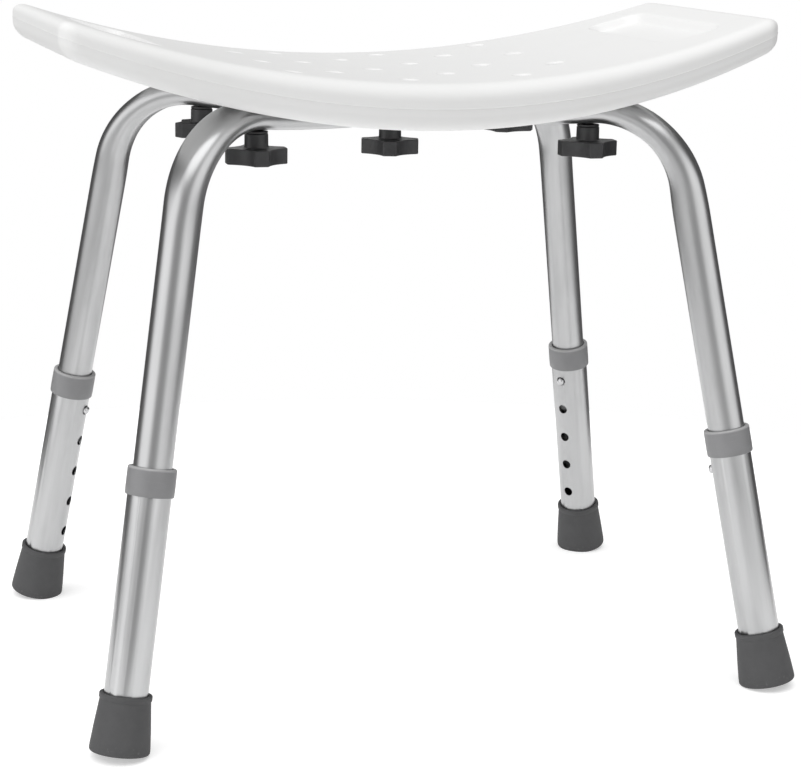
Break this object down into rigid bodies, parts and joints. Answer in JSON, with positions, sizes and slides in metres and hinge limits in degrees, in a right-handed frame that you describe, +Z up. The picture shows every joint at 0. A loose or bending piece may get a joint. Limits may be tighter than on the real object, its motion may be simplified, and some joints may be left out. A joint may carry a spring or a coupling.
{
  "type": "shower stool",
  "caption": "Saddle-shaped plastic seat with drain holes, hand-screwed to two bent aluminium tubes that cross under it, on height-adjustable legs with rubber tips.",
  "frame": {"origin": "on the floor, under the middle of the seat", "axes": "+X along the seat's length, to the right for someone facing the stool; +Y to the rear; +Z up"},
  "size_m": [0.5036, 0.3788, 0.4627],
  "materials": {
    "seat": "white blow-moulded polyethylene, satin",
    "aluminium": "satin anodised, brushed along the tube",
    "steel": "zinc plated",
    "brass": "turned",
    "grey_plastic": "grey moulded, satin",
    "black_plastic": "black moulded, satin",
    "rubber": "dark grey moulded, matte"
  },
  "bodies": {
    "frame": {"seat": "seat", "frame_tube_upper": "aluminium", "frame_tube_lower": "aluminium", "seat_insert_centre": "brass", "seat_insert_front_left": "brass", "seat_insert_front_right": "brass", "seat_insert_rear_right": "brass", "seat_insert_rear_left": "brass", "button_spring_front_left": "steel", "button_spring_front_right": "steel", "button_spring_rear_right": "steel", "button_spring_rear_left": "steel"},
    "leg_front_left": {"leg_tube_front_left": "aluminium", "collar_front_left": "grey_plastic", "rubber_tip_front_left": "rubber", "tip_washer_front_left": "steel"},
    "button_front_left": {"snap_button_front_left": "steel"},
    "leg_front_right": {"leg_tube_front_right": "aluminium", "collar_front_right": "grey_plastic", "rubber_tip_front_right": "rubber", "tip_washer_front_right": "steel"},
    "button_front_right": {"snap_button_front_right": "steel"},
    "leg_rear_right": {"leg_tube_rear_right": "aluminium", "collar_rear_right": "grey_plastic", "rubber_tip_rear_right": "rubber", "tip_washer_rear_right": "steel"},
    "button_rear_right": {"snap_button_rear_right": "steel"},
    "leg_rear_left": {"leg_tube_rear_left": "aluminium", "collar_rear_left": "grey_plastic", "rubber_tip_rear_left": "rubber", "tip_washer_rear_left": "steel"},
    "button_rear_left": {"snap_button_rear_left": "steel"},
    "washer_centre": {"knob_washer_centre": "black_plastic"},
    "knob_centre": {"knob_centre": "black_plastic", "knob_stud_centre": "steel"},
    "washer_front_left": {"knob_washer_front_left": "black_plastic"},
    "knob_front_left": {"knob_front_left": "black_plastic", "knob_stud_front_left": "steel"},
    "washer_front_right": {"knob_washer_front_right": "black_plastic"},
    "knob_front_right": {"knob_front_right": "black_plastic", "knob_stud_front_right": "steel"},
    "washer_rear_right": {"knob_washer_rear_right": "black_plastic"},
    "knob_rear_right": {"knob_rear_right": "black_plastic", "knob_stud_rear_right": "steel"},
    "washer_rear_left": {"knob_washer_rear_left": "black_plastic"},
    "knob_rear_left": {"knob_rear_left": "black_plastic", "knob_stud_rear_left": "steel"}
  },
  "joints": [
    {"name": "leg_front_left_slide", "type": "slide", "parent": "frame", "child": "leg_front_left", "axis": [0.1576, 0.1408, 0.9774], "range_m": [0, 0.1016], "deforming": ["snap_button_front_left"]},
    {"name": "button_front_left_press", "type": "slide", "parent": "frame", "child": "button_front_left", "axis": [-0.7918, -0.5734, 0.2103], "range_m": [0, 0.0042], "stiffness_N_per_m": 2500, "springref_m": -0.002, "deforming": ["button_spring_front_left"]},
    {"name": "leg_front_right_slide", "type": "slide", "parent": "frame", "child": "leg_front_right", "axis": [-0.1576, 0.1408, 0.9774], "range_m": [0, 0.1016], "deforming": ["snap_button_front_right"]},
    {"name": "button_front_right_press", "type": "slide", "parent": "frame", "child": "button_front_right", "axis": [0.7918, -0.5734, 0.2103], "range_m": [0, 0.0042], "stiffness_N_per_m": 2500, "springref_m": -0.002, "deforming": ["button_spring_front_right"]},
    {"name": "leg_rear_right_slide", "type": "slide", "parent": "frame", "child": "leg_rear_right", "axis": [-0.1576, -0.1408, 0.9774], "range_m": [0, 0.1016], "deforming": ["snap_button_rear_right"]},
    {"name": "button_rear_right_press", "type": "slide", "parent": "frame", "child": "button_rear_right", "axis": [0.7918, 0.5734, 0.2103], "range_m": [0, 0.0042], "stiffness_N_per_m": 2500, "springref_m": -0.002, "deforming": ["button_spring_rear_right"]},
    {"name": "leg_rear_left_slide", "type": "slide", "parent": "frame", "child": "leg_rear_left", "axis": [0.1576, -0.1408, 0.9774], "range_m": [0, 0.1016], "deforming": ["snap_button_rear_left"]},
    {"name": "button_rear_left_press", "type": "slide", "parent": "frame", "child": "button_rear_left", "axis": [-0.7918, 0.5734, 0.2103], "range_m": [0, 0.0042], "stiffness_N_per_m": 2500, "springref_m": -0.002, "deforming": ["button_spring_rear_left"]},
    {"name": "washer_centre_lower", "type": "slide", "parent": "frame", "child": "washer_centre", "axis": [0, 0, -1], "range_m": [0, 0.0126]},
    {"name": "knob_centre_turn", "type": "hinge", "parent": "washer_centre", "child": "knob_centre", "pos_m": [0, 0, 0.3784], "axis": [0, 0, -1], "range_deg": [0, 3600]},
    {"name": "washer_front_left_lower", "type": "slide", "parent": "frame", "child": "washer_front_left", "axis": [0, 0, -1], "range_m": [0, 0.0126]},
    {"name": "knob_front_left_turn", "type": "hinge", "parent": "washer_front_left", "child": "knob_front_left", "pos_m": [-0.11837, -0.0791, 0.3839], "axis": [0, 0, -1], "range_deg": [0, 3600]},
    {"name": "washer_front_right_lower", "type": "slide", "parent": "frame", "child": "washer_front_right", "axis": [0, 0, -1], "range_m": [0, 0.0126]},
    {"name": "knob_front_right_turn", "type": "hinge", "parent": "washer_front_right", "child": "knob_front_right", "pos_m": [0.11837, -0.0791, 0.3839], "axis": [0, 0, -1], "range_deg": [0, 3600]},
    {"name": "washer_rear_right_lower", "type": "slide", "parent": "frame", "child": "washer_rear_right", "axis": [0, 0, -1], "range_m": [0, 0.0126]},
    {"name": "knob_rear_right_turn", "type": "hinge", "parent": "washer_rear_right", "child": "knob_rear_right", "pos_m": [0.11837, 0.0791, 0.3839], "axis": [0, 0, -1], "range_deg": [0, 3600]},
    {"name": "washer_rear_left_lower", "type": "slide", "parent": "frame", "child": "washer_rear_left", "axis": [0, 0, -1], "range_m": [0, 0.0126]},
    {"name": "knob_rear_left_turn", "type": "hinge", "parent": "washer_rear_left", "child": "knob_rear_left", "pos_m": [-0.11837, 0.0791, 0.3839], "axis": [0, 0, -1], "range_deg": [0, 3600]}
  ],
  "couplings": [
    {"joint": "washer_centre_lower", "follows": "knob_centre_turn", "m_per_rad": 0.00019894},
    {"joint": "washer_front_left_lower", "follows": "knob_front_left_turn", "m_per_rad": 0.00019894},
    {"joint": "washer_front_right_lower", "follows": "knob_front_right_turn", "m_per_rad": 0.00019894},
    {"joint": "washer_rear_right_lower", "follows": "knob_rear_right_turn", "m_per_rad": 0.00019894},
    {"joint": "washer_rear_left_lower", "follows": "knob_rear_left_turn", "m_per_rad": 0.00019894}
  ]
}
